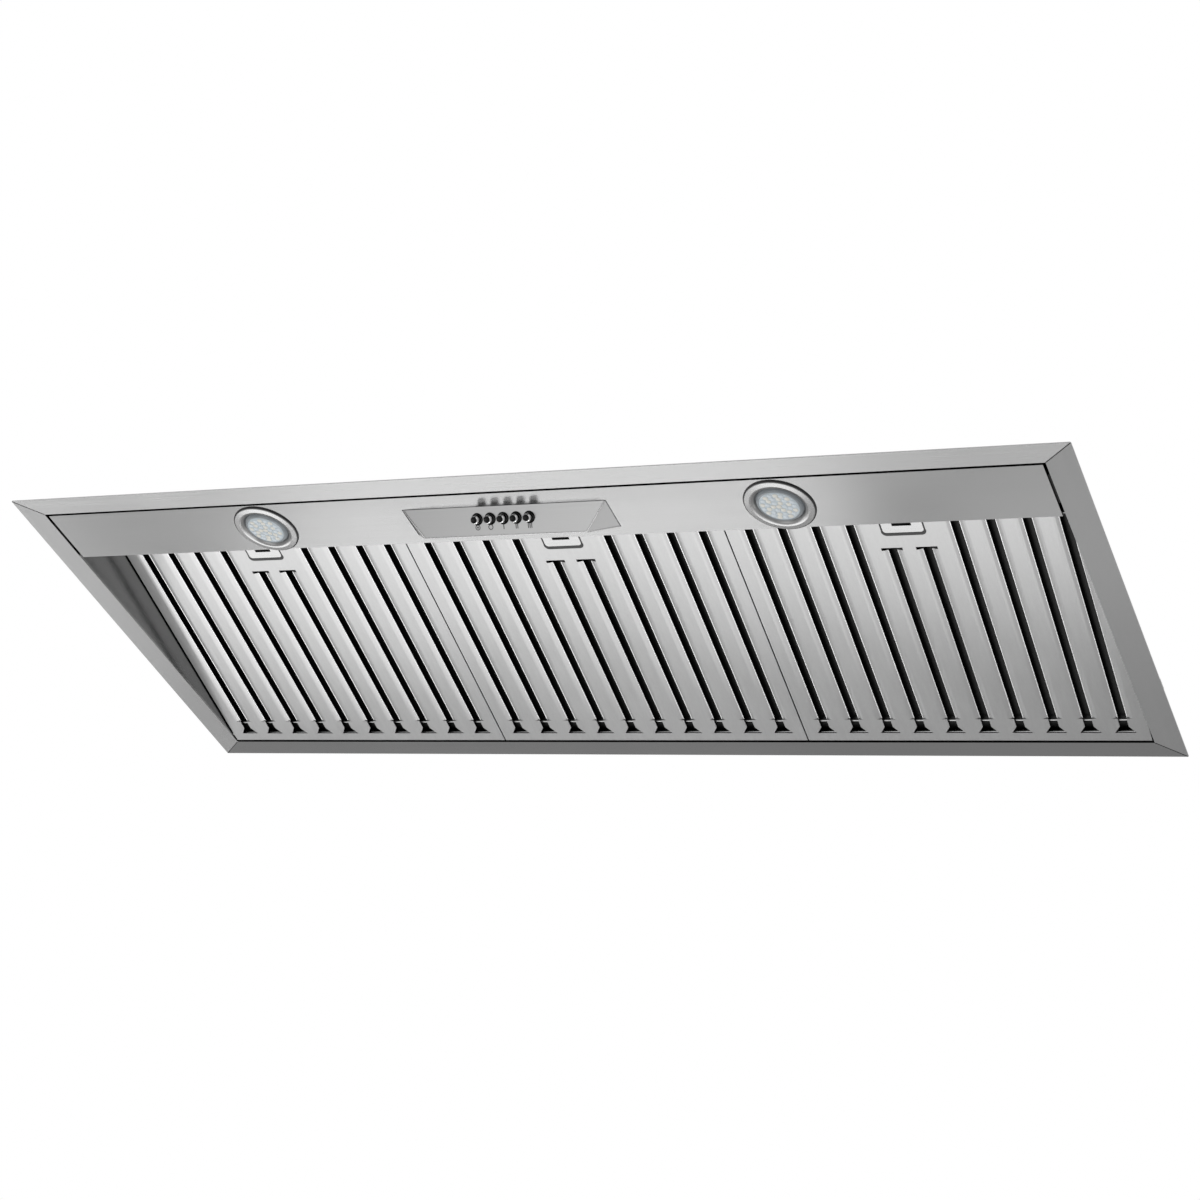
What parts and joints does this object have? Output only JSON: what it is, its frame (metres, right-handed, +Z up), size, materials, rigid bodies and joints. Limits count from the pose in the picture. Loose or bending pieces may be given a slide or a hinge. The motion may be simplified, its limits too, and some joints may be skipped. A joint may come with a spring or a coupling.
{
  "type": "range hood insert",
  "caption": "Built-in outdoor range hood insert with mitred flange, lit control panel, hinged baffle filters, blower and round damped duct collar.",
  "frame": {"origin": "centre of the hanger holes on the upper face of the top plate", "axes": "+X along the width, +Y to the back, +Z up"},
  "size_m": [1.178, 0.486, 0.26],
  "materials": {
    "stainless": "fine brushed",
    "baffle_steel": "satin",
    "filter_inner": "satin",
    "latch_steel": "satin",
    "body_steel": "mill",
    "button_chrome": "polished",
    "trim_steel": "turned satin",
    "lens": "frosted",
    "lamp_metal": "die cast",
    "led_board": "white solder mask",
    "flap": "mill",
    "bright_steel": "ground",
    "blower_paint": "satin",
    "motor_paint": "satin",
    "dark_plastic": "moulded"
  },
  "bodies": {
    "hood_body": {"blower_feet": "body_steel", "cable_gland": "dark_plastic", "capacitor": "dark_plastic", "capacitor_strap": "body_steel", "control_housing": "stainless", "damper_pin": "bright_steel", "duct_collar": "body_steel", "electrics_shield": "body_steel", "filter_rail": "body_steel", "flange_front": "stainless", "flange_left": "stainless", "flange_rear": "stainless", "flange_right": "stainless", "front_panel": "stainless", "junction_box": "body_steel", "junction_cover": "body_steel", "lamp_body_left": "lamp_metal", "lamp_body_right": "lamp_metal", "led_board_left": "led_board", "led_board_right": "led_board", "led_driver": "dark_plastic", "light_lens_left": "lens", "light_lens_right": "lens", "light_trim_left": "trim_steel", "light_trim_right": "trim_steel", "motor": "motor_paint", "panel_fixings": "body_steel", "pivot_rod": "bright_steel", "plenum_back": "body_steel", "plenum_front": "body_steel", "plenum_left": "body_steel", "plenum_right": "body_steel", "scroll_case": "blower_paint", "scroll_inlet_plate": "blower_paint", "switch_block": "dark_plastic", "top_plate": "body_steel"},
    "button_1": {"button_1": "button_chrome"},
    "button_2": {"button_2": "button_chrome"},
    "button_3": {"button_3": "button_chrome"},
    "button_4": {"button_4": "button_chrome"},
    "button_5": {"button_5": "button_chrome"},
    "filter_left": {"filter_face_left": "baffle_steel", "filter_back_left": "filter_inner", "filter_frame_left": "filter_inner", "latch_case_left": "baffle_steel"},
    "latch_left": {"latch_bolt_left": "latch_steel"},
    "filter_middle": {"filter_face_middle": "baffle_steel", "filter_back_middle": "filter_inner", "filter_frame_middle": "filter_inner", "latch_case_middle": "baffle_steel"},
    "latch_middle": {"latch_bolt_middle": "latch_steel"},
    "filter_right": {"filter_face_right": "baffle_steel", "filter_back_right": "filter_inner", "filter_frame_right": "filter_inner", "latch_case_right": "baffle_steel"},
    "latch_right": {"latch_bolt_right": "latch_steel"},
    "impeller": {"impeller": "blower_paint", "motor_shaft": "bright_steel"},
    "damper_front": {"damper_flap_front": "flap"},
    "damper_rear": {"damper_flap_rear": "flap"}
  },
  "joints": [
    {"name": "button_1_press", "type": "slide", "parent": "hood_body", "child": "button_1", "axis": [0, 0.6849, 0.7286], "range_m": [0, 0.003], "stiffness_N_per_m": 300, "springref_m": -0.002},
    {"name": "button_2_press", "type": "slide", "parent": "hood_body", "child": "button_2", "axis": [0, 0.6849, 0.7286], "range_m": [0, 0.003], "stiffness_N_per_m": 300, "springref_m": -0.002},
    {"name": "button_3_press", "type": "slide", "parent": "hood_body", "child": "button_3", "axis": [0, 0.6849, 0.7286], "range_m": [0, 0.003], "stiffness_N_per_m": 300, "springref_m": -0.002},
    {"name": "button_4_press", "type": "slide", "parent": "hood_body", "child": "button_4", "axis": [0, 0.6849, 0.7286], "range_m": [0, 0.003], "stiffness_N_per_m": 300, "springref_m": -0.002},
    {"name": "button_5_press", "type": "slide", "parent": "hood_body", "child": "button_5", "axis": [0, 0.6849, 0.7286], "range_m": [0, 0.003], "stiffness_N_per_m": 300, "springref_m": -0.002},
    {"name": "filter_left_swing", "type": "hinge", "parent": "hood_body", "child": "filter_left", "pos_m": [-0.3727, 0.10091, -0.19343], "axis": [1, 0, 0], "range_deg": [0, 70]},
    {"name": "latch_left_slide", "type": "slide", "parent": "filter_left", "child": "latch_left", "axis": [0, 0.986, -0.1666], "range_m": [0, 0.005], "stiffness_N_per_m": 250, "springref_m": -0.006},
    {"name": "filter_middle_swing", "type": "hinge", "parent": "hood_body", "child": "filter_middle", "pos_m": [0, 0.10091, -0.19343], "axis": [1, 0, 0], "range_deg": [0, 70]},
    {"name": "latch_middle_slide", "type": "slide", "parent": "filter_middle", "child": "latch_middle", "axis": [0, 0.986, -0.1666], "range_m": [0, 0.005], "stiffness_N_per_m": 250, "springref_m": -0.006},
    {"name": "filter_right_swing", "type": "hinge", "parent": "hood_body", "child": "filter_right", "pos_m": [0.3727, 0.10091, -0.19343], "axis": [1, 0, 0], "range_deg": [0, 70]},
    {"name": "latch_right_slide", "type": "slide", "parent": "filter_right", "child": "latch_right", "axis": [0, 0.986, -0.1666], "range_m": [0, 0.005], "stiffness_N_per_m": 250, "springref_m": -0.006},
    {"name": "impeller_spin", "type": "hinge", "parent": "hood_body", "child": "impeller", "pos_m": [0, 0.034, -0.088], "axis": [1, 0, 0], "continuous": true},
    {"name": "damper_front_lift", "type": "hinge", "parent": "hood_body", "child": "damper_front", "pos_m": [0, 0, 0.014], "axis": [-1, 0, 0], "range_deg": [0, 75]},
    {"name": "damper_rear_lift", "type": "hinge", "parent": "hood_body", "child": "damper_rear", "pos_m": [0, 0, 0.014], "axis": [1, 0, 0], "range_deg": [0, 75]}
  ]
}
